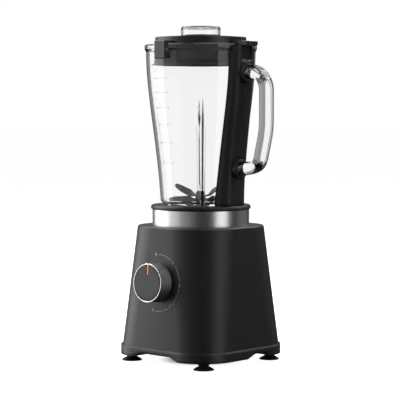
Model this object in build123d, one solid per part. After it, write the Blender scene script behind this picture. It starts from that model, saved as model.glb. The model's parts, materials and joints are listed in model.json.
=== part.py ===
from build123d import *
import os
from math import atan2, cos, degrees, radians, sin

# Countertop blender, millimetres, +Z up. Everything is drawn about the drive axis (x = y = 0),
# with the knob on -Y and the jar handle on +X, and is shifted to the frame origin when it is written.

# --- base ---
SKIRT_HALF = 86.7            # half side of the bottom cover
SKIRT_CORNER = 45.0
PAD_Z = 9.2                  # underside of the corner pads
ARCH_Z = 14.7                # underside of the raised arches between the feet
SEAM_Z = 22.0                # seam between bottom cover and housing
HOUSING_LOW_HALF = 85.0
HOUSING_TOP_HALF = 74.8
HOUSING_LOW_CORNER = 45.0
HOUSING_TOP_CORNER = 58.0
HOUSING_TOP_Z = 176.4
WALL = 2.6
COVER_WALL = 3.0
FOOT_OFFSET = 63.4           # feet stand at +-this in x and y
COVER_SCREWS = [(72.0, -22.0), (72.0, 46.0), (-72.0, -22.0), (-72.0, 46.0)]
RING_R = 62.8                # steel trim ring
RING_TOP_Z = 197.2
SEAT_WELL_R = 52.9           # inside of the well that takes the jar collar

# --- control knob, on the tilted front face ---
KNOB_Z = 106.3
KNOB_R = 24.4
KNOB_DEPTH = 20.4
FACE_TILT = degrees(atan2(HOUSING_LOW_HALF - HOUSING_TOP_HALF, HOUSING_TOP_Z - SEAM_Z))
FACE_SLOPE = (HOUSING_LOW_HALF - HOUSING_TOP_HALF) / (HOUSING_TOP_Z - SEAM_Z)
KNOB_FACE_Y = -(HOUSING_LOW_HALF - FACE_SLOPE * (KNOB_Z - SEAM_Z))

# --- motor ---
SHAFT_R = 4.0
STACK_Z = (88.0, 118.0)      # laminated stack, rotor and stator
ROTOR_R = 22.0
STATOR_BORE = 22.8
FIT = 0.05                   # radial running clearance, also between pressed round pieces

# --- jar ---
FLANGE_Z = (197.5, 202.8)
FLANGE_R = 64.7
GLASS_WALL = 4.0
GLASS_SIDE = [(52.3, 209.0), (54.7, 240.0), (60.0, 287.0), (65.9, 333.0), (69.3, 365.0), (70.8, 392.0)]
RIM_Z = 409.2
RIM_R = 72.7
BLADE_BASE_TOP_Z = 203.8
HUB_TOP_Z = 207.4             # top of the blade bearing hub
COLUMN_TOP_Z = 406.3
COLUMN_FACE = [(62.3, 203.0), (64.6, 252.0), (70.8, 307.0), (77.6, 370.0), (80.0, COLUMN_TOP_Z)]
COLUMN_HALF_WIDTH = 15.6     # at the outer face; the sides widen towards the glass
ROD_R = 1.5                  # lid interlock rod
ROD_LOW = (55.6, 197.2)
ROD_HIGH = (75.0, 389.3)

# --- blades ---
BLADE_THICK = 1.8
LOWER_BLADE_Z = 209.0        # underside of each blade's level middle
UPPER_BLADE_Z = 213.6

# --- handle, drawn in the plane y = 0 ---
HANDLE_WIDTH = 21.8
HANDLE_THICK = 11.3
HANDLE_END_THICK = 18.6      # the bow swells to this at its sockets
HANDLE_X = 111.7             # centre line of the upright grip
SOCKET_R = 12.4
SOCKET_DEPTH = 7.0
SOCKETS = [(76.4, 371.6), (64.0, 250.4)]   # (x, z) of each socket's inner face

# --- lid and measuring cap ---
LID_R = 58.9
LID_Z = (410.3, 419.0)
PLUG_R = 59.5
PLUG_Z = 383.0
LUG_Z = (389.7, 409.6)
CAP_R = 25.5
CAP_TOP_Z = 432.8

# the frame origin is the bottom centre of the whole object's box
KNOB_LOWEST_Y = KNOB_FACE_Y - KNOB_DEPTH * cos(radians(FACE_TILT)) - KNOB_R * sin(radians(FACE_TILT))
FRAME_SHIFT = Vector(-(HANDLE_X + HANDLE_THICK / 2 - SKIRT_HALF) / 2, -(SKIRT_HALF + KNOB_LOWEST_Y) / 2, 0)

BASE = (Align.CENTER, Align.CENTER, Align.MIN)
KNOB_PLANE = Plane(
    origin=(0, KNOB_FACE_Y, KNOB_Z),
    x_dir=(1, 0, 0),
    z_dir=(0, -cos(radians(FACE_TILT)), sin(radians(FACE_TILT))),
)


def disc(radius, z0, z1, x=0.0, y=0.0):
    """Upright cylinder from z0 to z1."""
    return Pos(x, y, z0) * Cylinder(radius, z1 - z0, align=BASE)


def tube(outer, inner, z0, z1, x=0.0, y=0.0):
    """Upright round tube."""
    return disc(outer, z0, z1, x, y) - disc(inner, z0 - 1, z1 + 1, x, y)


def block(x0, x1, y0, y1, z0, z1):
    """Box between two corners."""
    return Pos((x0 + x1) / 2, (y0 + y1) / 2, (z0 + z1) / 2) * Box(x1 - x0, y1 - y0, z1 - z0)


def turned(*points):
    """Solid of revolution about the drive axis from (radius, z) corners."""
    return revolve(Plane.XZ * Polygon(*points, align=None), Axis.Z)


def sector(outer, inner, z0, z1, start, end):
    """Part of a tube between two angles in degrees, less than half a turn apart."""
    reach = 3 * outer
    angles = [radians(start + (end - start) * i / 3) for i in range(4)]
    wedge = Polygon((0, 0), *[(reach * cos(a), reach * sin(a)) for a in angles], align=None)
    return tube(outer, inner, z0, z1) & (Pos(0, 0, z0 - 1) * extrude(wedge, z1 - z0 + 2))


def rounded_square(half, corner, z):
    return Pos(0, 0, z) * RectangleRounded(2 * half, 2 * half, corner)


def tapered_square(inset, z0, z1):
    """The housing's outer form between two heights, moved inwards by inset."""
    def section(z):
        t = (z - SEAM_Z) / (HOUSING_TOP_Z - SEAM_Z)
        half = HOUSING_LOW_HALF + t * (HOUSING_TOP_HALF - HOUSING_LOW_HALF) - inset
        corner = HOUSING_LOW_CORNER + t * (HOUSING_TOP_CORNER - HOUSING_LOW_CORNER) - inset
        return rounded_square(half, corner, z)
    return loft([section(z0), section(z1)], ruled=True)


def foot_places():
    return [(sx * FOOT_OFFSET, sy * FOOT_OFFSET) for sx in (-1, 1) for sy in (-1, 1)]


def at_corners(radius, count=4, start=45.0):
    """Evenly spaced (x, y) places on a circle."""
    angles = [radians(start + 360.0 * i / count) for i in range(count)]
    return [(radius * cos(a), radius * sin(a)) for a in angles]


def group(shapes):
    """Separate solids kept together in one node."""
    return Compound([solid for shape in shapes for solid in shape.solids()])


def coil_spring(radius, wire, height, turns):
    """Compression spring standing on z = 0, about the z axis."""
    path = Helix(pitch=height / turns, height=height, radius=radius)
    section = Plane(origin=path @ 0, z_dir=path % 0) * Circle(wire)
    return sweep(section, path=path, is_frenet=True)


# ------------------------------------------------------------------ base body


def foot(x, y):
    """Rubber suction foot: wide cup on the floor, waist, and a stud up into the bottom cover."""
    profile = turned(
        (0, 1.2), (9.5, 0.9), (12.2, 0), (13.0, 0), (13.0, 1.0), (9.6, 3.2), (6.8, 4.6), (6.5, 6.2),
        (8.7, 7.4), (8.7, PAD_Z), (3.9, PAD_Z), (3.9, PAD_Z + 4.8), (0, PAD_Z + 4.8),
    )
    return Pos(x, y, 0) * profile


def arch(low0, high0, high1, low1, grow):
    """Channel with sloping ends, across the plane's x, as a solid along the plane's normal."""
    top = ARCH_Z + grow
    corners = [
        (low0 - 40, PAD_Z - 20), (low0 - grow, PAD_Z - 0.2), (high0 - grow, top), (high1 + grow, top),
        (low1 + grow, PAD_Z - 0.2), (low1 + 40, PAD_Z - 20),
    ]
    outline = FilletPolyline(*corners, radius=[14, 16, 16, 14])
    return make_face([*outline.edges(), Line(corners[-1], corners[0])])


def arches(grow):
    """Space left under the base between its pads: one channel front to back, one side to side."""
    front = extrude(Plane.XZ * arch(-40, -27, 27, 40, grow), 2 * SKIRT_HALF, both=True)
    side = extrude(Plane.YZ * arch(-6, 8, 30, 41, grow), 2 * SKIRT_HALF, both=True)
    return front + side


def bottom_cover():
    """Skirt and floor in one moulding, with a lip inside the housing, vents and board rails."""
    inner_half = SKIRT_HALF - COVER_WALL
    inner_corner = SKIRT_CORNER - COVER_WALL
    tray = extrude(rounded_square(SKIRT_HALF, SKIRT_CORNER, PAD_Z), SEAM_Z - PAD_Z)
    tray = chamfer(tray.edges().group_by(Axis.Z)[-1], 0.7)
    cavity = extrude(rounded_square(inner_half, inner_corner, PAD_Z + COVER_WALL), SEAM_Z)
    tray -= cavity - arches(COVER_WALL)
    shelf = extrude(rounded_square(inner_half + 0.5, inner_corner + 0.5, SEAM_Z - 3), 3)
    lip = tapered_square(WALL + 0.3, SEAM_Z - 3, SEAM_Z + 4)
    tray += (shelf + lip) - tapered_square(WALL + 2.5, SEAM_Z - 4, SEAM_Z + 5)
    for x, y in foot_places():
        tray += disc(7.0, PAD_Z + 1, SEAM_Z - 3, x, y)
        tray -= disc(4.0, PAD_Z - 1, PAD_Z + 5.0, x, y)
    for x, y in COVER_SCREWS:
        tray += disc(5.0, PAD_Z + 1, SEAM_Z - 0.1, x, y)
        tray -= disc(3.2, PAD_Z - 1, PAD_Z + 4.0, x, y)
        tray -= disc(1.7, PAD_Z, SEAM_Z + 2, x, y)
    for i in range(9):
        x = -20.0 + 5.0 * i
        tray -= block(x - 1.1, x + 1.1, -24, 24, ARCH_Z - 3, ARCH_Z + 6)
    for y in (-31, 31):
        rail = block(-68, -58, y - 4, y + 4, PAD_Z + 1, 36)
        tray += rail - block(-64.05, -62.15, y - 5, y + 5, 23.95, 40)
    return tray - arches(0)


def lip_clearance():
    """Band just inside the housing wall that the cover's lip fills."""
    band = tapered_square(WALL - 0.1, SEAM_Z - 1, SEAM_Z + 4.3)
    return band - tapered_square(WALL + 3, SEAM_Z - 2, SEAM_Z + 6)


def housing():
    """Tapered rounded-square shell with a closed top, hanging bosses and its through holes."""
    outer = tapered_square(0, SEAM_Z, HOUSING_TOP_Z)
    outer = fillet(outer.edges().group_by(Axis.Z)[-1], 2.8)
    shell = outer - tapered_square(WALL, SEAM_Z, HOUSING_TOP_Z - 3.0)
    for x, y in at_corners(44.0):
        shell += disc(6.5, 150, HOUSING_TOP_Z - 2, x, y)
        shell -= disc(2.0, 149, 166, x, y)
    for x, y in COVER_SCREWS:
        side = 1 if x > 0 else -1
        low_x, high_x = sorted((x, side * HOUSING_LOW_HALF))
        post = disc(5.0, SEAM_Z, 48, x, y) + block(low_x, high_x, y - 1.5, y + 1.5, SEAM_Z, 48)
        post -= disc(1.2, SEAM_Z - 1, 40, x, y)
        post -= lip_clearance()
        shell += post & tapered_square(0.5, SEAM_Z, 48)
    for y in (-6.3, 4.3):
        shell += block(48, 66, y, y + 2.0, 150, HOUSING_TOP_Z - 2)
    shell -= disc(10.5, HOUSING_TOP_Z - 4, HOUSING_TOP_Z + 1)
    shell -= disc(ROD_R + 0.6, HOUSING_TOP_Z - 4, HOUSING_TOP_Z + 1, ROD_LOW[0])
    shell -= KNOB_PLANE * Cylinder(5.0, 20)
    shell -= cord_place() * Cylinder(6.5, 20)
    return shell


def steel_ring():
    ring = tube(RING_R, RING_R - 1.5, HOUSING_TOP_Z, RING_TOP_Z)
    top_edges = ring.edges().filter_by(GeomType.CIRCLE).group_by(Axis.Z)[-1]
    return fillet(top_edges.sort_by(SortBy.RADIUS)[-1:], 0.6)


def jar_seat():
    """Well that takes the jar's collar, with its floor on the housing."""
    seat = turned(
        (8.0, HOUSING_TOP_Z), (RING_R - 1.5, HOUSING_TOP_Z), (RING_R - 1.5, RING_TOP_Z - 0.3),
        (SEAT_WELL_R + 1, RING_TOP_Z - 0.3), (SEAT_WELL_R, RING_TOP_Z - 1.3),
        (SEAT_WELL_R, HOUSING_TOP_Z + 3), (22, HOUSING_TOP_Z + 3), (20, HOUSING_TOP_Z + 4),
        (18, HOUSING_TOP_Z + 4), (18, HOUSING_TOP_Z + 3), (8.0, HOUSING_TOP_Z + 3),
    )
    seat -= disc(ROD_R + FIT, HOUSING_TOP_Z - 1, RING_TOP_Z, ROD_LOW[0])
    return seat


def shaft_seal():
    return tube(8.0, SHAFT_R + FIT, HOUSING_TOP_Z - 1.5, HOUSING_TOP_Z + 3.8) + tube(
        10.0, SHAFT_R + FIT, HOUSING_TOP_Z - 2.9, HOUSING_TOP_Z - 1.5)


def bracket(hub_z0, hub_z1, arm_z0, arm_z1, reach):
    """Motor end bracket: bearing cup in the middle and four arms to the through bolts."""
    spider = disc(16, hub_z0, hub_z1)
    for angle in (45, 135):
        spider += Rot(0, 0, angle) * block(-reach, reach, -7, 7, arm_z0, arm_z1)
    for x, y in at_corners(reach):
        spider += disc(8, arm_z0, arm_z1, x, y)
        spider -= disc(2.3, arm_z0 - 1, arm_z1 + 1, x, y)
    spider -= disc(11.0 + FIT, hub_z0 + 2, hub_z1 + 1)
    spider -= disc(7.0, hub_z0 - 1, hub_z1 + 1)
    return spider


def upper_bracket():
    return bracket(130, 139, 136, 140, 44) - disc(11.0 + FIT, 132, 141)


def lower_bracket():
    flipped = mirror(bracket(-55, -46, -50, -46, 44), Plane.XY)
    return flipped - block(-5, 5, -60, 60, 56, 80)


def ball_bearing(z0):
    """608 size bearing: two races and eight balls between them."""
    z1 = z0 + 7
    outer = tube(11.0, 9.2, z0, z1)
    inner = tube(6.2, SHAFT_R + FIT, z0, z1)
    groove = Pos(0, 0, z0 + 3.5) * Torus(7.7, 1.95)
    balls = [Pos(x, y, z0 + 3.5) * Sphere(1.9) for x, y in at_corners(7.7, 8, 0)]
    return group([outer - groove, inner - groove, *balls])


def stator_core():
    z0, z1 = STACK_Z
    core = Pos(0, 0, z0) * extrude(RectangleRounded(84, 74, 14), z1 - z0)
    core -= disc(STATOR_BORE, z0 - 1, z1 + 1)
    for centre in (0, 180):
        core -= sector(33.3, STATOR_BORE - 1, z0 - 1, z1 + 1, centre - 42, centre + 42)
    for x, y in at_corners(44.0):
        core -= disc(2.3, z0 - 1, z1 + 1, x, y)
        core -= disc(8.5, z1 - 4, z1 + 1, x, y)
    return core


def field_coils():
    """Two windings, one round each stator pole."""
    z0, z1 = STACK_Z
    coils = []
    for centre in (90, 270):
        coil = sector(32.6, 24.6, z0 - 8, z1 + 8, centre - 82, centre + 82)
        coil -= sector(40, 20, z0 - 0.6, z1 + 0.6, centre - 50, centre + 50)
        coils.append(coil)
    return group(coils)


def motor_mounts():
    """Rubber bushes between the upper bracket and the housing bosses."""
    return group([tube(7.5, 2.2, 140, 150, x, y) for x, y in at_corners(44.0)])


def motor_screws():
    """Long screws through brackets, stator and rubber mounts into the housing bosses."""
    return group([disc(2.0, 46, 164, x, y) + disc(4.0, 42.5, 46, x, y) for x, y in at_corners(44.0)])


def brush_holders():
    holders = []
    for side in (0, 180):
        holder = block(-4.5, 4.5, 16.5, 42, 63.5, 72.5) - block(-3.2, 3.2, 15, 40, 64.8, 71.2)
        holder += block(-4.5, 4.5, 26, 34, 55, 63.5)
        holders.append(Rot(0, 0, side) * holder)
    return group(holders)


def carbon_brushes():
    brush = block(-3.1, 3.1, 12.6, 28, 64.9, 71.1)
    return group([brush, Rot(0, 0, 180) * brush])


def brush_springs():
    spring = Pos(0, 28.6, 68) * Rot(-90, 0, 0) * coil_spring(2.2, 0.35, 10.8, 6)
    return group([spring, Rot(0, 0, 180) * spring])


def control_board():
    """Speed control board standing in two rails, with its triac, choke and capacitors."""
    board = block(-63.9, -62.3, -34, 34, 24, 92)
    board += block(-62.3, -52, 8, 30, 62, 84)
    board += block(-62.3, -56, -30, -12, 66, 86)
    for y in (-22, -6, 10):
        board += Pos(-62.3, y, 48) * Rot(0, 90, 0) * Cylinder(5.5, 9, align=BASE)
    board += block(-62.3, -54, 18, 30, 38, 52)
    return board


def rotary_switch():
    """Speed switch behind the front face; its threaded neck and nut hold it to the housing."""
    body = KNOB_PLANE * (Pos(0, 0, -WALL - 10) * Box(34, 30, 20))
    body += KNOB_PLANE * (Pos(0, 0, -WALL) * Cylinder(4.9, WALL + 5, align=BASE))
    body += KNOB_PLANE * (Pos(0, 0, 0.1) * extrude(RegularPolygon(7.5, 6), 2.4))
    body -= KNOB_PLANE * (Pos(0, 0, -WALL - 14) * Cylinder(3.0 + FIT, 40, align=BASE))
    return body


def jar_switch():
    body = block(46, 65, -4.2, 4.2, 146, 158.5)
    body += block(49, 52, -1.5, 1.5, 141, 146)
    body += block(59, 62, -1.5, 1.5, 141, 146)
    return body


def cord_place():
    """Frame on the rear wall's outer face, z outwards."""
    return Pos(0, HOUSING_LOW_HALF - FACE_SLOPE * (36 - SEAM_Z), 36) * Rot(-90 + FACE_TILT, 0, 0)


def cord_bushing():
    """Grommet in the rear wall with an empty bore for a mains lead."""
    sleeve = Pos(0, 0, -1) * Cylinder(6.4, 6.2)
    sleeve += Pos(0, 0, 1.1) * Cylinder(8.5, 2.0)
    sleeve += Pos(0, 0, -WALL - 1.2) * Cylinder(8.0, 2.0)
    return cord_place() * (sleeve - Cylinder(3.7, 30))


def cover_screws():
    """Screws from the cover pads up into the housing posts."""
    shanks = [disc(1.15, PAD_Z + 2, 38, x, y) for x, y in COVER_SCREWS]
    heads = [disc(2.9, PAD_Z + 1.2, PAD_Z + 3.9, x, y) for x, y in COVER_SCREWS]
    return group([shank + head for shank, head in zip(shanks, heads)])


# ----------------------------------------------------------------- rotor body


def motor_shaft():
    shaft = disc(SHAFT_R, 27, 186)
    return chamfer(shaft.edges(), 0.5)


def armature_core():
    z0, z1 = STACK_Z
    core = tube(ROTOR_R, SHAFT_R, z0, z1)
    for i in range(12):
        core -= Rot(0, 0, 30 * i) * block(13, 21, -1.7, 1.7, z0 - 1, z1 + 1)
        core -= Rot(0, 0, 30 * i) * block(20, 23, -0.7, 0.7, z0 - 1, z1 + 1)
    return core


def armature_winding():
    z0, z1 = STACK_Z
    winding = fillet(tube(20.4, 6.5, z1 + 0.3, z1 + 9).edges().group_by(Axis.Z)[-1], 2.5)
    winding += fillet(tube(20.4, 6.5, z0 - 9, z0 - 0.3).edges().group_by(Axis.Z)[0], 2.5)
    for i in range(12):
        winding += Rot(0, 0, 30 * i) * block(13.6, 20.2, -1.4, 1.4, z0 - 1, z1 + 1)
    return winding


def commutator():
    ring = tube(12.0, SHAFT_R, 61, 75) + tube(14.0, SHAFT_R, 75, 77)
    for i in range(12):
        ring -= Rot(0, 0, 15 + 30 * i) * block(10.8, 15, -0.3, 0.3, 60, 78)
    return ring


def cooling_fan():
    fan = tube(9.0, SHAFT_R, 30, 40) + tube(36.0, SHAFT_R, 30, 32)
    for i in range(11):
        blade = sector(36, 34.2, 31.5, 40, 0, 42)
        fan += Rot(0, 0, 360.0 / 11 * i) * Pos(-13, -16, 0) * (blade & disc(60, 0, 50))
    return fan & disc(36.0, 29, 41)


def star(outer, inner, z0, z1):
    """Six-pointed driving star."""
    tips = []
    for i in range(12):
        radius = outer if i % 2 == 0 else inner
        tips.append((radius * cos(radians(30 * i)), radius * sin(radians(30 * i))))
    return Pos(0, 0, z0) * extrude(Polygon(*tips, align=None), z1 - z0)


def drive_coupling():
    hub = disc(13.0, 181.2, 182.6) + star(12.0, 8.6, 182.6, 189.6)
    return hub - disc(SHAFT_R, 180, 186)


# ------------------------------------------------------------------ knob body


def pointer_slot():
    """Slot on the knob face from the rim inwards, folded over the rim down the side."""
    slot = block(-0.9, 0.9, 10.4, KNOB_R + 2, KNOB_DEPTH - 1.2, KNOB_DEPTH + 1)
    return slot + block(-0.9, 0.9, KNOB_R - 0.8, KNOB_R + 2, 9.0, KNOB_DEPTH + 1)


def knob_body():
    body = Cylinder(KNOB_R, KNOB_DEPTH - 1.4, align=BASE)
    body -= Cylinder(KNOB_R - 2.4, KNOB_DEPTH - 4.6, align=BASE)
    body += Pos(0, 0, 5.4) * Cylinder(7.5, KNOB_DEPTH - 9, align=BASE)
    body -= Cylinder(3.0, KNOB_DEPTH - 5, align=BASE)
    body -= Box(80, 80, 1.2)
    body = chamfer(body.edges().group_by(Axis.Z)[0], 0.3)
    return KNOB_PLANE * (body - pointer_slot())


def knob_ring():
    ring = Cylinder(KNOB_R, 1.4, align=BASE) - Cylinder(23.2, 1.4, align=BASE)
    ring = Pos(0, 0, KNOB_DEPTH - 1.4) * ring
    ring = chamfer(ring.edges().group_by(Axis.Z)[-1], 0.3)
    return KNOB_PLANE * (ring - pointer_slot())


def knob_face():
    face = Pos(0, 0, KNOB_DEPTH - 1.4) * Cylinder(23.2, 1.0, align=BASE)
    return KNOB_PLANE * (face - pointer_slot())


def knob_pointer():
    return KNOB_PLANE * (pointer_slot() & Cylinder(KNOB_R, KNOB_DEPTH, align=BASE))


def knob_spindle():
    return KNOB_PLANE * (Pos(0, 0, -WALL - 13) * Cylinder(3.0, WALL + 13 + KNOB_DEPTH - 5, align=BASE))


# --------------------------------------------------- switch pin and lid interlock


def switch_pin():
    return disc(ROD_R, 166, 196.3, ROD_LOW[0]) + disc(3.0, 166, 168, ROD_LOW[0])


def pin_spring():
    return Pos(ROD_LOW[0], 0, 158.9) * coil_spring(2.2, 0.35, 6.2, 5)


def rod_line(radius, start, end):
    """Round bar along the tilted interlock line, between two heights."""
    lean = degrees(atan2(ROD_HIGH[0] - ROD_LOW[0], ROD_HIGH[1] - ROD_LOW[1]))
    length = (end - start) / cos(radians(lean))
    x = ROD_LOW[0] + (start - ROD_LOW[1]) * (ROD_HIGH[0] - ROD_LOW[0]) / (ROD_HIGH[1] - ROD_LOW[1])
    return Pos(x, 0, start) * Rot(0, lean, 0) * Cylinder(radius, length, align=BASE)


def interlock_rod():
    rod = rod_line(ROD_R, ROD_LOW[1], ROD_HIGH[1])
    return rod + rod_line(2.4, 364, 366)


def rod_spring():
    low, high = 351.0, 363.2
    lean = degrees(atan2(ROD_HIGH[0] - ROD_LOW[0], ROD_HIGH[1] - ROD_LOW[1]))
    x = ROD_LOW[0] + (low - ROD_LOW[1]) * (ROD_HIGH[0] - ROD_LOW[0]) / (ROD_HIGH[1] - ROD_LOW[1])
    return Pos(x, 0, low) * Rot(0, lean, 0) * coil_spring(2.05, 0.3, high - low, 8)


# ------------------------------------------------------------------- jar body


def side_curve(offset):
    """The jar's outer side line, moved outwards by offset."""
    return Spline(*[(radius + offset, z) for radius, z in GLASS_SIDE])


def jar_form(offset, low_z):
    """Solid of revolution inside the side line moved outwards by offset."""
    side = side_curve(offset)
    low, high = side @ 0, side @ 1
    outline = [
        side, Line(high, (high.X, RIM_Z + 4)), Line((high.X, RIM_Z + 4), (0, RIM_Z + 4)),
        Line((0, RIM_Z + 4), (0, low_z)), Line((0, low_z), (low.X, low_z)), Line((low.X, low_z), low),
    ]
    return revolve(Plane.XZ * make_face(outline), Axis.Z)


def glass_jar():
    """Tapered glass wall with a thick heel, rolled rim, bead and four inner ribs."""
    outer = side_curve(0)
    inner = side_curve(-GLASS_WALL)
    rim_z = RIM_Z
    outside = [
        Line((46.4, FLANGE_Z[1]), (48.6, FLANGE_Z[1])), Line((48.6, FLANGE_Z[1]), outer @ 0), outer,
        Line(outer @ 1, (70.9, 400)), Line((70.9, 400), (RIM_R, 403.5)),
        Line((RIM_R, 403.5), (RIM_R, rim_z - 1.5)), Line((RIM_R, rim_z - 1.5), (RIM_R - 1.5, rim_z)),
        Line((RIM_R - 1.5, rim_z), (68.6, rim_z)), Line((68.6, rim_z), (67.2, rim_z - 1.5)),
        Line((67.2, rim_z - 1.5), inner @ 1), inner,
        Line(inner @ 0, (46.4, 206.0)), Line((46.4, 206.0), (46.4, FLANGE_Z[1])),
    ]
    jar = revolve(Plane.XZ * make_face(outside), Axis.Z)
    bead = tube(RIM_R + 0.7, 69, 403.2, 406.6)
    wedge = sector(90, 60, 400, 410, -35, 35)
    for centre in (-90, 90):
        jar += bead & (Rot(0, 0, centre) * wedge)
    hollow = jar_form(-GLASS_WALL + 1.5, 206)
    for angle in (45, 135, 225, 315):
        radial = Plane.XZ * Polygon((44.4, 206.4), (62, 206.4), (75, 345), (59.2, 345), (46.6, 240), align=None)
        pencil = Plane.YZ * Polygon((-3.9, 206), (3.9, 206), (3.9, 300), (0, 342), (-3.9, 300), align=None)
        ridge = Polygon((40, -1.0), (50, -3.2), (66, -4.4), (66, 4.4), (50, 3.2), (40, 1.0), align=None)
        rib = extrude(radial, 10, both=True) & extrude(pencil, 90) & Pos(0, 0, 200) * extrude(ridge, 150)
        jar += Rot(0, 0, angle) * (rib & hollow)
    return jar


def jar_collar():
    """Black foot of the jar: wide flange, skirt that drops into the seat, shelf under the glass."""
    collar = turned(
        (FLANGE_R - 0.8, FLANGE_Z[0]), (FLANGE_R, FLANGE_Z[0] + 0.8), (FLANGE_R, FLANGE_Z[1] - 1.6),
        (FLANGE_R - 1.6, FLANGE_Z[1]), (52.6, FLANGE_Z[1]), (52.6, 201.6), (47.0, 201.6), (47.0, 199.6),
        (40.0, 199.6), (40.0, 196.6), (49.2, 196.6), (49.2, 181.2), (52.2, 181.2), (52.2, FLANGE_Z[0]),
    )
    for i in range(24):
        collar += Rot(0, 0, 15 * i + 7.5) * block(46.5, 50, -1, 1, 183, 197)
    for x, y in at_corners(44.6, 4, 15):
        collar -= disc(1.4, 196, 200, x, y)
    return collar - rod_line(ROD_R + 0.1, 196, 204)


def jar_gasket():
    return tube(52.4, 46.6, 201.6, FLANGE_Z[1])


def blade_base():
    """Black floor of the jar with the blade bearing hub in its middle."""
    top = BLADE_BASE_TOP_Z
    return turned(
        (7.0 + FIT, 192.6), (12.0, 192.6), (12.0, 199.6), (46.6, 199.6), (46.6, 201.4), (46.2, 201.4),
        (46.2, top - 0.8), (45.4, top), (34.0, top), (33.0, top - 1.0), (19.0, top - 1.0), (18.0, top),
        (13.0, top), (11.0, HUB_TOP_Z), (7.0 + FIT, HUB_TOP_Z),
    )


def blade_bushes():
    """Two bronze bushes in the bearing hub."""
    return group([tube(7.0, SHAFT_R + FIT, 193, 199), tube(7.0, SHAFT_R + FIT, 201, HUB_TOP_Z - 0.6)])


def blade_base_screws():
    screws = [disc(1.3, 195.6, 199.4, x, y) + disc(2.4, 194.4, 196.5, x, y) for x, y in at_corners(44.6, 4, 15)]
    return group(screws)


def column_section(face_x, z):
    """Level section of the column: outer face, sides widening towards the glass."""
    half = COLUMN_HALF_WIDTH
    crease = 5.0
    spread = 0.62
    points = [
        (face_x, -half + 1.2), (face_x, half - 1.2), (face_x - crease, half + 2.2),
        (face_x - 26, half + 2.2 + spread * 21), (face_x - 26, -half - 2.2 - spread * 21),
        (face_x - crease, -half - 2.2),
    ]
    return Pos(0, 0, z) * Polygon(*points, align=None)


def column_cover():
    """Black column that carries the handle and houses the interlock rod."""
    column = loft([column_section(x, z) for x, z in COLUMN_FACE])
    column -= jar_form(0.3, 190)
    column -= tube(80, RIM_R - 4, 399.5, RIM_Z) & disc(RIM_R + 1.2, 399, 411)
    column -= block(60, 90, -9.3, 9.3, 388.7, 420)
    column -= rod_line(ROD_R + 0.1, 200, 395)
    column -= rod_line(2.6, 350.8, 371)
    for x, z in SOCKETS:
        column -= Pos(x, 0, z) * Rot(0, 90, 0) * Cylinder(SOCKET_R + FIT, 40, align=BASE)
    return column


def handle_sockets():
    """Round black sockets that take the ends of the handle."""
    socket = Cylinder(SOCKET_R, SOCKET_DEPTH, align=BASE)
    socket = fillet(socket.edges().group_by(Axis.Z)[-1], 1.2)
    return [Pos(x, 0, z) * Rot(0, 90, 0) * socket - grip(FIT) for x, z in SOCKETS]


def handle_path():
    """Centre line of the grip, from inside the upper socket to inside the lower one."""
    start, end = SOCKETS[0][0] + 1.5, SOCKETS[1][0] + 1.5
    corners = [(start, 372.15), (HANDLE_X, 378.0), (HANDLE_X, 301.0), (100.0, 253.0), (end, 250.5)]
    return Plane.XZ * FilletPolyline(*corners, radius=[24.0, 110.0, 17.0])


def grip(grow):
    """The handle's bow, thickened by grow on every side: flat in the middle, nearly round at its ends."""
    path = handle_path()
    sections = []
    for step in range(25):
        along = step / 24
        swell = max(0.0, 1.0 - min(along, 1.0 - along) / 0.25)
        thick = HANDLE_THICK + (HANDLE_END_THICK - HANDLE_THICK) * swell * swell * (3 - 2 * swell)
        width = HANDLE_WIDTH - 1.6 * swell
        place = Plane(origin=path @ along, x_dir=(0, 1, 0), z_dir=path % along)
        outline = RectangleRounded(width + 2 * grow, thick + 2 * grow, 0.42 * thick + grow)
        sections.append(place * outline)
    return loft(sections)


def handle():
    return grip(0)


# --------------------------------------------------------------- blades body


def blade_shaft():
    return chamfer(disc(SHAFT_R, 190.6, UPPER_BLADE_Z + 7.0).edges(), 0.5)


def driven_coupling():
    """Cup with a star pocket that drops over the driving star."""
    cup = disc(17.0, 183.4, 192.1) - star(13.0, 9.6, 182, 190.4)
    return cup - disc(SHAFT_R, 189, 193)


def blade_arm(length, rise, pitch, z):
    """Blade arm along +X: level root, then a wing that climbs, turned by pitch about its own length."""
    start = 8.0
    stations = [(-2.0, 12.0, 0.0), (start, 12.0, 0.0), (start + 6.0, 12.4, pitch), (length - 8.0, 11.0, pitch),
                (length - 2.0, 7.6, pitch), (length, 3.6, pitch)]
    sections = []
    for x, width, turn in stations:
        climb = rise * max(0.0, x - start) / (length - start)
        across = (0, cos(radians(turn)), sin(radians(turn)))
        place = Plane(origin=(x, 0, z + BLADE_THICK / 2 + climb), x_dir=across, z_dir=(1, 0, 0))
        sections.append(place * Rectangle(width, BLADE_THICK))
    return loft(sections, ruled=True)


def blade_pair(arms, z):
    """Blade pressed from one strip: arms given as (direction, length, rise, pitch)."""
    strip = disc(8.5, z, z + BLADE_THICK)
    for direction, length, rise, pitch in arms:
        strip += Rot(0, 0, direction) * blade_arm(length, rise, pitch, z)
    return strip - disc(SHAFT_R, z - 5, z + 30)


def upper_blades():
    return blade_pair([(207.7, 34.5, 13.0, -33.0), (27.7, 31.0, 16.0, 33.0)], UPPER_BLADE_Z)


def lower_blades():
    return blade_pair([(243.0, 42.5, -0.4, -38.0), (63.0, 42.5, -0.4, -38.0)], LOWER_BLADE_Z)


def blade_spacer():
    """Distance washers under and between the two blades."""
    washers = [tube(7.0, SHAFT_R, HUB_TOP_Z + 0.4, LOWER_BLADE_Z)]
    washers.append(tube(7.0, SHAFT_R, LOWER_BLADE_Z + BLADE_THICK, UPPER_BLADE_Z))
    return group(washers)


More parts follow.
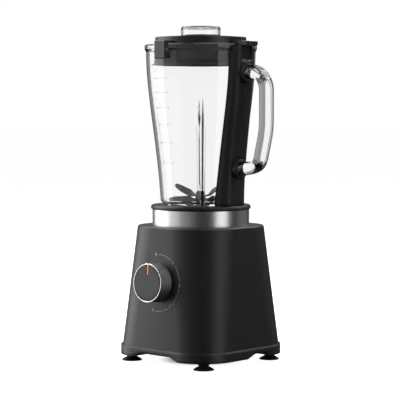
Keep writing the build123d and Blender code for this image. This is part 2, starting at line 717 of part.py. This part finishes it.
def blade_nut():
    base = UPPER_BLADE_Z + BLADE_THICK
    nut = Pos(0, 0, base) * extrude(RegularPolygon(6.6, 6), 3.8) + disc(5.4, base + 3.8, base + 4.6)
    return nut - disc(SHAFT_R, base - 1, base + 6)


# ------------------------------------------------------------- lid and cap


def lug(angle):
    """Locating lug outside the glass rim, tied to the lid over the rim."""
    low, high = LUG_Z
    tab = block(74.1, 77.4, -8.5, 8.5, low, 412.6) + block(56.0, 77.4, -8.5, 8.5, high, 412.6)
    outer_edges = tab.edges().filter_by(Axis.Y).group_by(Axis.X)[-1]
    return Rot(0, 0, angle) * fillet(outer_edges, 1.0)


def lid_shell():
    """Lid disc with a hollow plug below it, centre hole for the cap, lugs and thumb tongue."""
    low, top = LID_Z
    lid = turned(
        (24.2, top), (LID_R - 0.7, top), (LID_R, top - 0.7), (LID_R, low + 0.6), (PLUG_R, low),
        (PLUG_R, PLUG_Z), (PLUG_R - 3, PLUG_Z), (PLUG_R - 3, top - 3.2), (27.0, top - 3.2), (27.0, 401.0),
        (24.2, 401.0),
    )
    for angle in (-90, 0, 90):
        lid += lug(angle)
    tongue = block(56, 90.7, -10, 10, 406.9, 411.6)
    tongue = fillet(tongue.edges().filter_by(Axis.Z).group_by(Axis.X)[-1], 4.0)
    tongue += block(87.4, 90.7, -6, 6, 405.6, 407.5)
    lid += tongue - disc(RIM_R + 0.9, 400, 409.6)
    return lid


def lid_seal():
    """Soft black band round the foot of the plug, with a thin lip towards the glass."""
    return turned(
        (PLUG_R, PLUG_Z), (63.6, PLUG_Z), (63.6, PLUG_Z + 0.8), (PLUG_R + 0.8, PLUG_Z + 2.4),
        (PLUG_R + 0.8, PLUG_Z + 7.0), (PLUG_R, PLUG_Z + 7.6),
    )


def measuring_cap():
    """Clear inverted cup whose lower part drops into the lid's hole."""
    cap = turned((0, 402.0), (23.6, 402.0), (23.6, 419.8), (CAP_R, 419.8), (CAP_R, CAP_TOP_Z), (0, CAP_TOP_Z))
    cap = fillet(cap.edges().group_by(Axis.Z)[-1], 2.6)
    hollow = turned(
        (0, 400.0), (21.6, 400.0), (21.6, 420.0), (22.6, 422.0), (22.6, 428.6), (21.6, 429.8), (0, 429.8),
    )
    return cap - hollow


# ----------------------------------------------------------------- all nodes


def all_nodes():
    nodes = {
        "housing": housing(),
        "bottom_cover": bottom_cover(),
        "steel_ring": steel_ring(),
        "jar_seat": jar_seat(),
        "shaft_seal": shaft_seal(),
        "upper_bracket": upper_bracket(),
        "lower_bracket": lower_bracket(),
        "upper_bearing": ball_bearing(132),
        "lower_bearing": ball_bearing(46),
        "stator_core": stator_core(),
        "field_coils": field_coils(),
        "motor_mounts": motor_mounts(),
        "motor_screws": motor_screws(),
        "brush_holders": brush_holders(),
        "carbon_brushes": carbon_brushes(),
        "brush_springs": brush_springs(),
        "control_board": control_board(),
        "rotary_switch": rotary_switch(),
        "jar_switch": jar_switch(),
        "cord_bushing": cord_bushing(),
        "cover_screws": cover_screws(),
        "motor_shaft": motor_shaft(),
        "armature_core": armature_core(),
        "armature_winding": armature_winding(),
        "commutator": commutator(),
        "cooling_fan": cooling_fan(),
        "drive_coupling": drive_coupling(),
        "knob_body": knob_body(),
        "knob_ring": knob_ring(),
        "knob_face": knob_face(),
        "knob_pointer": knob_pointer(),
        "knob_spindle": knob_spindle(),
        "switch_pin": switch_pin(),
        "pin_spring": pin_spring(),
        "interlock_rod": interlock_rod(),
        "rod_spring": rod_spring(),
        "glass_jar": glass_jar(),
        "jar_collar": jar_collar(),
        "jar_gasket": jar_gasket(),
        "blade_base": blade_base(),
        "blade_bushes": blade_bushes(),
        "blade_base_screws": blade_base_screws(),
        "column_cover": column_cover(),
        "handle": handle(),
        "blade_shaft": blade_shaft(),
        "driven_coupling": driven_coupling(),
        "upper_blades": upper_blades(),
        "lower_blades": lower_blades(),
        "blade_spacer": blade_spacer(),
        "blade_nut": blade_nut(),
        "lid_shell": lid_shell(),
        "lid_seal": lid_seal(),
        "measuring_cap": measuring_cap(),
    }
    for number, (x, y) in enumerate(foot_places(), start=1):
        nodes[f"foot_{number}"] = foot(x, y)
    for side, socket in zip(("upper", "lower"), handle_sockets()):
        nodes[f"handle_socket_{side}"] = socket
    return nodes


os.makedirs("parts", exist_ok=True)
for name, shape in all_nodes().items():
    export_step(Pos(FRAME_SHIFT) * shape, f"parts/{name}.step")
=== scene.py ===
import json
from math import cos, radians, sin

import bmesh
import bpy
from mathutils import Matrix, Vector
from mathutils.bvhtree import BVHTree


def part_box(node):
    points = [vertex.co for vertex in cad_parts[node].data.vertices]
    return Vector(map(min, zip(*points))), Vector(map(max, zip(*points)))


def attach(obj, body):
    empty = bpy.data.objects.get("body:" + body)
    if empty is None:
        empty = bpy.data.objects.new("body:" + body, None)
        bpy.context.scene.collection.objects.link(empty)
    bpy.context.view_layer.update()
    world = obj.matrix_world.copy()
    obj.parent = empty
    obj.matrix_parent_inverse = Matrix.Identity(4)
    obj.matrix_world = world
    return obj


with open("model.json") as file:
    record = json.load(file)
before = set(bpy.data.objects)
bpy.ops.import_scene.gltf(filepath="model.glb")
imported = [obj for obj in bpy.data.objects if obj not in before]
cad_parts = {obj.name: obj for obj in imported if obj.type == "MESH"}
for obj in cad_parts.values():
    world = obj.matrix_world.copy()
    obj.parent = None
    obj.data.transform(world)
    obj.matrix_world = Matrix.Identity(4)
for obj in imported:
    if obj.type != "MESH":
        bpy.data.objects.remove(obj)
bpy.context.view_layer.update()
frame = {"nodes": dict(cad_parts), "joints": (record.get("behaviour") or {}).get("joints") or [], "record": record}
RECORD = frame["record"]
NODES = frame["nodes"]
MM = 0.001


def centre(node):
    low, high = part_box(node)
    return (low + high) / 2


# the drive axis is the middle of the motor shaft
AXIS = centre("motor_shaft")
AXIS_X, AXIS_Y = AXIS.x, AXIS.y


def near_axis(x, y, z):
    """A point given from the drive axis, in metres."""
    return Vector((AXIS_X + x, AXIS_Y + y, z))


# ------------------------------------------------------------------ materials


WHITE = (1, 1, 1)

# painted shade: a dark line down the glass at each rib, standing in for dark surroundings seen refracted in the
# rib faces
RIB_TOP_Z = 0.340
RIB_SPREAD = 2.0          # how fast the shaded line widens below the rib's point, per metre
RIB_HALF_TURN = 0.055     # half its width, as the sine of twice the angle
RIB_FADE = 3.0            # how late the shade fades towards its sides
# colour of the painted shade line on the glass
RIB_PAINTED_SHADE = (0.03, 0.03, 0.03, 1)

DEPTH_COLOUR = (0.72, 0.74, 0.74, 1)      # what light keeps on its way through clear pieces
DEPTH_DENSITY = 22.0


def maths_node(tree, operation, first, second):
    """Math node on two numbers or sockets."""
    made = tree.nodes.new("ShaderNodeMath")
    made.operation = operation
    for socket, value in zip(made.inputs, (first, second)):
        if isinstance(value, (int, float)):
            socket.default_value = value
        else:
            tree.links.new(value, socket)
    return made.outputs[0]


class Shader:
    """A node tree that starts from one Principled shader."""

    def __init__(self, name):
        self.material = bpy.data.materials.new(name)
        self.material.use_nodes = True
        self.tree = self.material.node_tree
        self.bsdf = self.tree.nodes["Principled BSDF"]

    def node(self, kind, **inputs):
        made = self.tree.nodes.new(kind)
        for key, value in inputs.items():
            made.inputs[key.replace("_", " ")].default_value = value
        return made

    def link(self, output, socket):
        self.tree.links.new(output, socket)

    def set(self, **inputs):
        for key, value in inputs.items():
            self.bsdf.inputs[key.replace("_", " ")].default_value = value

    def coords(self, scale=(1, 1, 1)):
        """Object coordinates in metres from the drive axis, stretched by scale."""
        source = self.tree.nodes.new("ShaderNodeTexCoord")
        mapping = self.tree.nodes.new("ShaderNodeMapping")
        mapping.inputs["Location"].default_value = [-AXIS_X * scale[0], -AXIS_Y * scale[1], 0]
        mapping.inputs["Scale"].default_value = scale
        self.link(source.outputs["Object"], mapping.inputs["Vector"])
        return mapping.outputs["Vector"]

    def split(self, vector):
        made = self.tree.nodes.new("ShaderNodeSeparateXYZ")
        self.link(vector, made.inputs[0])
        return made.outputs

    def squares(self, where):
        """Squares of the distances across and along from the drive axis."""
        return [self.maths("MULTIPLY", where[way], where[way]) for way in "XY"]

    def round_coords(self, around, along):
        """Coordinates that follow the turning direction about the drive axis: (angle, height, 0)."""
        where = self.split(self.coords())
        turn = self.maths("MULTIPLY", self.maths("ARCTAN2", where["Y"], where["X"]), around)
        height = self.maths("MULTIPLY", where["Z"], along)
        joined = self.tree.nodes.new("ShaderNodeCombineXYZ")
        self.link(turn, joined.inputs["X"])
        self.link(height, joined.inputs["Y"])
        return joined.outputs[0]

    def rib_shade(self, colour):
        """Paints shade on the glass at the quarter turns, below the rib points: a dark line that stands in for
        dark surroundings seen refracted in the rib faces.
        """
        where = self.split(self.coords())
        across, along = self.squares(where)
        apart = self.maths("ABSOLUTE", self.maths("SUBTRACT", across, along), 0)
        turn = self.maths("DIVIDE", apart, self.maths("ADD", across, along))
        width = self.maths("MULTIPLY", self.maths("SUBTRACT", RIB_TOP_Z, where["Z"]), RIB_SPREAD)
        width = self.maths("MINIMUM", self.maths("MAXIMUM", width, 0.0001), RIB_HALF_TURN)
        share = self.maths("MINIMUM", self.maths("DIVIDE", turn, width), 1.0)
        mixed = self.tree.nodes.new("ShaderNodeMix")
        mixed.data_type = "RGBA"
        self.link(self.maths("POWER", share, RIB_FADE), mixed.inputs["Factor"])
        mixed.inputs["A"].default_value = RIB_PAINTED_SHADE
        self.link(colour, mixed.inputs["B"])
        return mixed.outputs["Result"]

    def maths(self, operation, first, second):
        return maths_node(self.tree, operation, first, second)

    def fall_off(self, curve):
        """Height in metres of a face that is slightly bowed: it falls away from the drive axis."""
        across, along = self.squares(self.split(self.coords()))
        return self.maths("MULTIPLY", self.maths("ADD", across, along), -curve / 2)

    def noise(self, coords, scale, detail=4.0, rough=0.55):
        made = self.node("ShaderNodeTexNoise", Scale=scale, Detail=detail, Roughness=rough)
        self.link(coords, made.inputs["Vector"])
        return made.outputs["Fac"]

    def span(self, value, low, high):
        """Spreads a 0 to 1 value between low and high."""
        made = self.tree.nodes.new("ShaderNodeMapRange")
        made.inputs["From Min"].default_value = 0.25
        made.inputs["From Max"].default_value = 0.75
        made.inputs["To Min"].default_value = low
        made.inputs["To Max"].default_value = high
        self.link(value, made.inputs["Value"])
        return made.outputs["Result"]

    def blend(self, value, low, high):
        """Mixes two colours by a 0 to 1 value."""
        ramp = self.tree.nodes.new("ShaderNodeValToRGB")
        ramp.color_ramp.elements[0].position = 0.3
        ramp.color_ramp.elements[1].position = 0.7
        ramp.color_ramp.elements[0].color = (*low, 1)
        ramp.color_ramp.elements[1].color = (*high, 1)
        self.link(value, ramp.inputs[0])
        return ramp.outputs["Color"]

    def bump(self, height, strength, distance, under=None):
        made = self.node("ShaderNodeBump", Strength=strength, Distance=distance)
        self.link(height, made.inputs["Height"])
        if under is not None:
            self.link(under, made.inputs["Normal"])
        return made.outputs["Normal"]


def moulded(name, colour, rough, grain=2600.0, depth=0.00002, vary=0.12, glow=0.0, soft_edge=0.0, bow=0.0):
    """Moulded or painted surface: fine grain in the bump, slow changes in colour and roughness.

    soft_edge is the radius in metres of edges that look rounded, bow the curve of faces that look domed, glow a
    painted glow in the surface's own colour.
    """
    made = Shader(name)
    where = made.coords()
    fine = made.noise(where, grain, 3.0)
    slow = made.noise(where, 38.0, 5.0)
    low = [c * (1 - vary) for c in colour]
    high = [min(1.0, c * (1 + vary)) for c in colour]
    made.link(made.blend(slow, low, high), made.bsdf.inputs["Base Color"])
    made.link(made.span(slow, rough - 0.035, rough + 0.035), made.bsdf.inputs["Roughness"])
    broad = None
    if soft_edge:
        broad = made.node("ShaderNodeBevel", Radius=soft_edge).outputs["Normal"]
    if bow:
        broad = made.bump(made.fall_off(bow), 1.0, 1.0)
    made.link(made.bump(fine, 0.35, depth, broad), made.bsdf.inputs["Normal"])
    # glow above zero is painted light: the surface glows in its own colour though it is no lamp
    made.set(Emission_Color=(*colour, 1), Emission_Strength=glow)
    return made.material


def turned_metal(name, colour, rough):
    """Metal brushed round the drive axis: fine level lines in roughness, colour and bump."""
    made = Shader(name)
    lines = made.noise(made.round_coords(around=3.0, along=9000.0), 1.0, 6.0, 0.7)
    slow = made.noise(made.coords(), 30.0, 4.0)
    low = [c * 0.86 for c in colour]
    made.link(made.blend(lines, low, colour), made.bsdf.inputs["Base Color"])
    made.link(made.span(lines, rough - 0.06, rough + 0.06), made.bsdf.inputs["Roughness"])
    wear = made.bump(slow, 0.1, 0.0001)
    made.link(made.bump(lines, 0.5, 0.000006, wear), made.bsdf.inputs["Normal"])
    made.set(Metallic=1.0)
    return made.material


def ground_metal(name, colour, rough, scale=(60.0, 900.0, 900.0)):
    """Ground or machined metal with straight fine scratches."""
    made = Shader(name)
    lines = made.noise(made.coords(scale), 1.0, 6.0, 0.7)
    low = [c * 0.8 for c in colour]
    made.link(made.blend(lines, low, colour), made.bsdf.inputs["Base Color"])
    made.link(made.span(lines, rough - 0.06, rough + 0.08), made.bsdf.inputs["Roughness"])
    made.link(made.bump(lines, 0.4, 0.00001), made.bsdf.inputs["Normal"])
    made.set(Metallic=1.0)
    return made.material


def clear(name, tint, ior, painted_rib_lines=False):
    """Clear glass or acrylic: faint waviness of a moulded wall, and a little colour in its depth."""
    made = Shader(name)
    slow = made.noise(made.coords(), 22.0, 2.0)
    made.link(made.bump(slow, 0.25, 0.00002), made.bsdf.inputs["Normal"])
    colour = made.blend(slow, [c * 0.995 for c in tint], tint)
    # painted shade: dark lines down the glass at each rib, standing in for dark surroundings seen through the rib
    # faces
    if painted_rib_lines:
        colour = made.rib_shade(colour)
    made.link(colour, made.bsdf.inputs["Base Color"])
    made.set(Transmission_Weight=1.0, IOR=ior, Roughness=0.0)
    depth = made.tree.nodes.new("ShaderNodeVolumeAbsorption")
    depth.inputs["Color"].default_value = DEPTH_COLOUR
    depth.inputs["Density"].default_value = DEPTH_DENSITY
    made.link(depth.outputs[0], made.tree.nodes["Material Output"].inputs["Volume"])
    return made.material


def soft_clear(name, tint):
    """Milky translucent silicone."""
    made = Shader(name)
    slow = made.noise(made.coords(), 60.0, 3.0)
    made.link(made.blend(slow, [c * 0.94 for c in tint], tint), made.bsdf.inputs["Base Color"])
    made.link(made.span(slow, 0.35, 0.45), made.bsdf.inputs["Roughness"])
    made.link(made.bump(made.noise(made.coords(), 1500.0), 0.2, 0.00002), made.bsdf.inputs["Normal"])
    made.set(Transmission_Weight=0.75, IOR=1.41)
    return made.material


def printed(name, colour, cover_share=1.0):
    """Screen-printed ink with slightly uneven cover; below 1 the share lets some light through."""
    made = Shader(name)
    cover = made.noise(made.coords(), 900.0, 4.0)
    made.link(made.blend(cover, [c * 0.86 for c in colour], colour), made.bsdf.inputs["Base Color"])
    made.link(made.span(cover, 0.5, 0.6), made.bsdf.inputs["Roughness"])
    made.set(Alpha=cover_share)
    return made.material


def windings(name, colour):
    """Enamelled wire: fine parallel ridges."""
    made = Shader(name)
    lines = made.noise(made.coords((900.0, 900.0, 40.0)), 1.0, 2.0)
    made.link(made.blend(lines, [c * 0.6 for c in colour], colour), made.bsdf.inputs["Base Color"])
    made.link(made.bump(lines, 0.6, 0.0003), made.bsdf.inputs["Normal"])
    made.set(Metallic=0.85, Roughness=0.35)
    return made.material


MATERIALS = {
    "housing": moulded(
        "charcoal_housing", (0.017, 0.017, 0.018), 0.45, grain=3200.0, depth=0.000012, vary=0.06, bow=1.3,
    ),
    "black_plastic": moulded("black_moulding", (0.019, 0.019, 0.02), 0.4, vary=0.1, soft_edge=0.006),
    "gloss_black": moulded(
        "gloss_black", (0.024, 0.024, 0.025), 0.4, grain=1200.0, depth=0.000006, vary=0.1, soft_edge=0.007,
    ),
    "lid_plastic": moulded("lid_black", (0.018, 0.018, 0.019), 0.38, grain=1800.0, depth=0.00001, vary=0.1),
    "rubber": moulded("black_rubber", (0.01, 0.01, 0.01), 0.7, grain=1700.0, depth=0.00005, vary=0.2),
    "steel_trim": turned_metal("brushed_trim", (0.72, 0.72, 0.73), 0.3),
    "blade_steel": ground_metal("blade_steel", (0.4, 0.4, 0.41), 0.36),
    "bright_trim": ground_metal("bright_edge", (0.95, 0.95, 0.96), 0.25),
    # the orange pointer glows: painted light, it is no lamp
    "orange": moulded("orange_mark_painted_glow", (0.9, 0.28, 0.05), 0.4, vary=0.06, glow=0.45),
    "knob_grey": ground_metal("knob_side", (0.42, 0.42, 0.43), 0.52, scale=(900.0, 60.0, 900.0)),
    # the jar glass carries painted shade lines down its rib faces
    "glass": clear("jar_glass", (1.0, 1.0, 1.0), 1.5, painted_rib_lines=True),
    "clear_plastic": clear("clear_acrylic", (1.0, 1.0, 1.0), 1.49),
    "silicone": soft_clear("silicone", (0.86, 0.87, 0.87)),
    "motor_steel": ground_metal("motor_steel", (0.42, 0.42, 0.44), 0.35, scale=(40.0, 40.0, 2400.0)),
    "cast_alloy": moulded("cast_alloy", (0.5, 0.51, 0.52), 0.45, grain=900.0, depth=0.00008),
    "copper": windings("copper_wire", (0.7, 0.3, 0.14)),
    "bronze": moulded("sintered_bronze", (0.36, 0.22, 0.1), 0.5, grain=2200.0, depth=0.00004),
    "carbon": moulded("carbon_block", (0.02, 0.02, 0.02), 0.6),
    "nylon": moulded("natural_nylon", (0.62, 0.6, 0.54), 0.45),
    "board": moulded("circuit_board", (0.02, 0.12, 0.05), 0.4),
}
INK_GREY = printed("ink_grey", (0.75, 0.75, 0.76))
INK_SCALE = printed("ink_scale", (0.6, 0.6, 0.61), cover_share=0.6)

for entry in RECORD["subparts"]:
    shown = NODES[entry["node"]]
    shown.data.materials.clear()
    shown.data.materials.append(MATERIALS[entry["material_slot"]])


# ---------------------------------------------------------------- printed marks


DIGIT_SHARE = 0.72        # height of a digit as a share of the font's size


def surface_of(node):
    """Ray target for a CAD node's surface."""
    mesh = NODES[node].data
    return BVHTree.FromPolygons([v.co for v in mesh.vertices], [p.vertices for p in mesh.polygons])


def outline_mesh(outlines):
    """Flat mesh from lists of (across, up) corners."""
    points, faces = [], []
    for corners in outlines:
        faces.append(range(len(points), len(points) + len(corners)))
        points.extend((across, up, 0) for across, up in corners)
    mesh = bpy.data.meshes.new("marks")
    mesh.from_pydata(points, [], [list(face) for face in faces])
    return mesh


def number_mesh(text, height):
    """Number centred on the origin, as a flat mesh."""
    curve = bpy.data.curves.new("number", "FONT")
    curve.body = text
    curve.size = height / DIGIT_SHARE
    curve.align_x = "CENTER"
    curve.align_y = "CENTER"
    holder = bpy.data.objects.new("number", curve)
    mesh = bpy.data.meshes.new_from_object(holder)
    bpy.data.objects.remove(holder)
    return mesh


def lay_on(name, meshes, place, body, ink):
    """Joins flat meshes, given with their (across, up) offsets, and lays them on a surface by place."""
    shape = bmesh.new()
    for mesh, across, up in meshes:
        first = len(shape.verts)
        shape.from_mesh(mesh)
        shape.verts.ensure_lookup_table()
        for vert in shape.verts[first:]:
            vert.co.x += across
            vert.co.y += up
        bpy.data.meshes.remove(mesh)
    for vert in shape.verts:
        vert.co = place(vert.co.x, vert.co.y)
    joined = bpy.data.meshes.new(name)
    shape.to_mesh(joined)
    shape.free()
    joined.materials.append(ink)
    marks = bpy.data.objects.new(name, joined)
    bpy.context.scene.collection.objects.link(marks)
    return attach(marks, body)


def arc(radius, start, end, width):
    """Quads along an arc; angles in degrees clockwise from the top."""
    steps = max(2, int(abs(end - start) / 3))
    quads = []
    for i in range(steps):
        a, b = (radians(start + (end - start) * (i + j) / steps) for j in (0, 1))
        inner, outer = radius - width / 2, radius + width / 2
        quads.append([
            (inner * sin(a), inner * cos(a)), (inner * sin(b), inner * cos(b)),
            (outer * sin(b), outer * cos(b)), (outer * sin(a), outer * cos(a)),
        ])
    return quads


DIAL_LIFT = 0.08 * MM     # how far the ink stands off the surface
RAY_START = 0.02          # rays to the surface start this far off it
DIAL_R = 36.1 * MM
DIAL_LINE = 0.4 * MM
DIGIT_HEIGHT = 4.2 * MM
DIGIT_GAP = 7             # degrees left free on each side of a digit
DOT_R = 1.1 * MM
DIAL_MARKS = [("0", -10), ("1", 42), ("2", 92), ("3", 143), ("4", 192)]
LAST_MARK = ("5", 245)
PULSE_ANGLE = -55


def add_dial():
    """Thin arc round the knob, broken by five numbers, with a sixth number and a dot past its ends."""
    turn = next(joint for joint in frame["joints"] if joint["name"] == "knob_turn")
    origin, normal = Vector(turn["pos_m"]), Vector(turn["axis"]).normalized()
    right = Vector((1, 0, 0))
    up = normal.cross(right)
    target = surface_of("housing")

    def place(across, height):
        start = origin + right * across + up * height + normal * RAY_START
        return target.ray_cast(start, -normal)[0] + normal * DIAL_LIFT

    def on_dial(mesh, angle):
        return mesh, DIAL_R * sin(radians(angle)), DIAL_R * cos(radians(angle))

    meshes = []
    for (_, start), (_, end) in zip(DIAL_MARKS, DIAL_MARKS[1:]):
        quads = arc(DIAL_R, start + DIGIT_GAP, end - DIGIT_GAP, DIAL_LINE)
        meshes.append((outline_mesh(quads), 0, 0))
    dot = [(DOT_R * cos(radians(a)), DOT_R * sin(radians(a))) for a in range(0, 360, 30)]
    meshes.append(on_dial(outline_mesh([dot]), PULSE_ANGLE))
    for text, angle in DIAL_MARKS + [LAST_MARK]:
        meshes.append(on_dial(number_mesh(text, DIGIT_HEIGHT), angle))
    lay_on("dial_marks", meshes, place, "base", INK_GREY)


# millilitres and height in millimetres; the column angles are in degrees about the drive axis
VOLUME_MARKS = [(1500, 365.4), (1250, 347.2), (1000, 328.1), (750, 306.8), (500, 283.3), (250, 257.3)]
STEP_SHARE = 25           # millilitres to one of the second column's count
NUMBER_COLUMN = -105
STEP_COLUMN = -86
NUMBER_HEIGHT = 3.0 * MM
STEP_HEIGHT = 2.4 * MM
NUMBER_TICK = (6.4 * MM, 10.0 * MM, 0.5 * MM)      # start, end and thickness
STEP_TICK = (-7.0 * MM, -3.4 * MM, 0.4 * MM)
ARROW = [(-1.2 * MM, 1.4 * MM), (0, -1.6 * MM), (1.2 * MM, 1.4 * MM), (0, 0.6 * MM)]
ARROW_Z = 373.5 * MM
SCALE_LIFT = 0.06 * MM
JAR_MEAN_R = 0.062


def on_glass(angle):
    """Places (across, height) on the outside of the jar, across measured from a direction in degrees."""
    target = surface_of("glass_jar")

    def place(across, height):
        turn = radians(angle) + across / JAR_MEAN_R
        outward = Vector((cos(turn), sin(turn), 0))
        hit = target.ray_cast(near_axis(0, 0, height) + outward * 0.1, -outward)[0]
        return hit + outward * SCALE_LIFT

    return place


def tick(start, end, thick):
    return [(start, -thick / 2), (end, -thick / 2), (end, thick / 2), (start, thick / 2)]


def add_volume_scale():
    """Two printed columns on the jar: millilitres with ticks, and ticks with a shorter count."""
    numbers, steps = [], []
    for amount, height in VOLUME_MARKS:
        z = height * MM
        numbers.append((number_mesh(str(amount), NUMBER_HEIGHT), 0, z))
        numbers.append((outline_mesh([tick(*NUMBER_TICK)]), 0, z))
        steps.append((number_mesh(str(amount // STEP_SHARE), STEP_HEIGHT), 0, z))
        steps.append((outline_mesh([tick(*STEP_TICK)]), 0, z))
    numbers.append((outline_mesh([ARROW]), 0, ARROW_Z))
    lay_on("volume_numbers", numbers, on_glass(NUMBER_COLUMN), "jar", INK_SCALE)
    lay_on("volume_steps", steps, on_glass(STEP_COLUMN), "jar", INK_SCALE)


add_dial()
add_volume_scale()

# --------------------------------------------------------------- camera, light

CAMERA_TURN = radians(42.7)      # from straight in front towards the handle side
CAMERA_TILT = radians(3.1)
CAMERA_DISTANCE = 2.148
CAMERA_LENS = 148.7
RIGHT = Vector((cos(CAMERA_TURN), sin(CAMERA_TURN), 0))
LEVEL_BACK = Vector((sin(CAMERA_TURN), -cos(CAMERA_TURN), 0))
BACK = LEVEL_BACK * cos(CAMERA_TILT) + Vector((0, 0, sin(CAMERA_TILT)))
TARGET_Z = 0.2084
TARGET_LEFT = 0.00104            # how far left of the drive axis the camera looks
TARGET = near_axis(0, 0, TARGET_Z) - RIGHT * TARGET_LEFT


def add_camera():
    data = bpy.data.cameras.new("camera")
    data.lens = CAMERA_LENS
    data.sensor_width = 36.0
    data.clip_end = 50.0
    camera = bpy.data.objects.new("camera", data)
    camera.location = TARGET + BACK * CAMERA_DISTANCE
    camera.rotation_euler = (-BACK).to_track_quat("-Z", "Y").to_euler()
    bpy.context.scene.collection.objects.link(camera)
    bpy.context.scene.camera = camera


LIGHT_AIM_Z = 0.2


def add_area_light(name, azimuth, distance, height, size, power):
    """Soft box at an azimuth from the camera's direction (right is positive), aimed at the drive axis."""
    turn = CAMERA_TURN + radians(azimuth)
    data = bpy.data.lights.new(name, "AREA")
    data.shape = "RECTANGLE"
    data.size, data.size_y = size
    data.energy = power
    data.color = WHITE
    light = bpy.data.objects.new(name, data)
    light.location = near_axis(sin(turn) * distance, -cos(turn) * distance, height)
    aim = near_axis(0, 0, LIGHT_AIM_Z) - light.location
    light.rotation_euler = aim.to_track_quat("-Z", "Y").to_euler()
    light.visible_camera = False
    light.visible_transmission = False
    bpy.context.scene.collection.objects.link(light)


FLOOR_R = 30.0
FLOOR_GAP = 0.2 * MM      # keeps the floor's face off the undersides of the feet
FLOOR_GLOW = 0.97
FLOOR_SHADOW_R = 0.03       # painted shadow on the floor: no glow closer to the drive axis than this, and all of it past the next
FLOOR_SHADOW_EDGE_R = 0.055


def add_floor():
    """Plain pale floor; it throws no light back on the object, and a painted shadow darkens its middle beneath it.
    """
    made = Shader("pale_floor")
    slow = made.noise(made.coords(), 3.0, 3.0)
    made.link(made.blend(slow, (0.6, 0.6, 0.6), (0.62, 0.62, 0.62)), made.bsdf.inputs["Base Color"])
    made.set(Roughness=0.9, Specular_IOR_Level=0.0, Emission_Color=(*WHITE, 1))
    reach = made.tree.nodes.new("ShaderNodeVectorMath")
    reach.operation = "LENGTH"
    made.link(made.coords(), reach.inputs[0])
    # painted shadow: the floor's glow fades to nothing near the drive axis, beneath the object
    glow = made.node("ShaderNodeMapRange", From_Min=FLOOR_SHADOW_R, From_Max=FLOOR_SHADOW_EDGE_R, To_Max=FLOOR_GLOW)
    made.link(reach.outputs["Value"], glow.inputs["Value"])
    made.link(glow.outputs["Result"], made.bsdf.inputs["Emission Strength"])
    mesh = bpy.data.meshes.new("floor")
    shape = bmesh.new()
    bmesh.ops.create_circle(shape, cap_ends=True, segments=64, radius=FLOOR_R)
    shape.to_mesh(mesh)
    shape.free()
    mesh.materials.append(made.material)
    floor = bpy.data.objects.new("floor", mesh)
    floor.location = (0, 0, -FLOOR_GAP)
    floor.visible_glossy = False
    floor.visible_diffuse = False
    floor.visible_transmission = False
    bpy.context.scene.collection.objects.link(floor)


AMBIENT = 0.035
THROUGH_GLASS = 1.06      # makes up for what four clear surfaces throw back
INNER_GLOW = 0.35         # seen by light that has bounced about inside clear pieces


def set_world():
    """White where it is seen directly or straight through glass, dim where it only lights the object."""
    world = bpy.data.worlds.new("studio")
    world.use_nodes = True
    bpy.context.scene.world = world
    tree = world.node_tree
    backdrop = tree.nodes["Background"]
    backdrop.inputs["Color"].default_value = (*WHITE, 1)
    path = tree.nodes.new("ShaderNodeLightPath")

    def maths(operation, first, second):
        return maths_node(tree, operation, first, second)

    bounces = maths("ADD", path.outputs["Diffuse Depth"], path.outputs["Glossy Depth"])
    straight = maths("MULTIPLY", maths("LESS_THAN", bounces, 0.5), THROUGH_GLASS)
    through = maths("MULTIPLY", path.outputs["Is Transmission Ray"], straight)
    seen = maths("MAXIMUM", path.outputs["Is Camera Ray"], through)
    glow = maths("MULTIPLY", path.outputs["Is Transmission Ray"], INNER_GLOW)
    strength = maths("MAXIMUM", maths("MAXIMUM", seen, glow), AMBIENT)
    tree.links.new(strength, backdrop.inputs["Strength"])


bpy.context.scene.view_settings.view_transform = "Standard"

add_camera()
set_world()
add_floor()
add_area_light("left_box", azimuth=-109, distance=1.6, height=0.7, size=(1.6, 2.4), power=34)
add_area_light("left_fill", azimuth=-68, distance=1.8, height=0.5, size=(1.1, 1.8), power=5.0)
add_area_light("left_soft", azimuth=-38, distance=1.8, height=0.5, size=(0.8, 1.8), power=1.2)
add_area_light("front_fill", azimuth=-18, distance=2.6, height=0.6, size=(0.6, 1.6), power=0.4)
add_area_light("right_strip", azimuth=50, distance=1.5, height=0.5, size=(0.8, 1.8), power=6.6)
add_area_light("left_top", azimuth=-128, distance=1.3, height=1.6, size=(1.0, 1.0), power=11)
add_area_light("right_top", azimuth=125, distance=1.4, height=1.5, size=(1.0, 0.9), power=10)
add_area_light("right_high", azimuth=55, distance=1.0, height=1.9, size=(0.8, 0.8), power=9)
add_area_light("right_fill", azimuth=120, distance=1.8, height=0.5, size=(1.5, 1.8), power=1.0)
add_area_light("top_box", azimuth=155, distance=0.8, height=1.6, size=(2.4, 2.0), power=22)
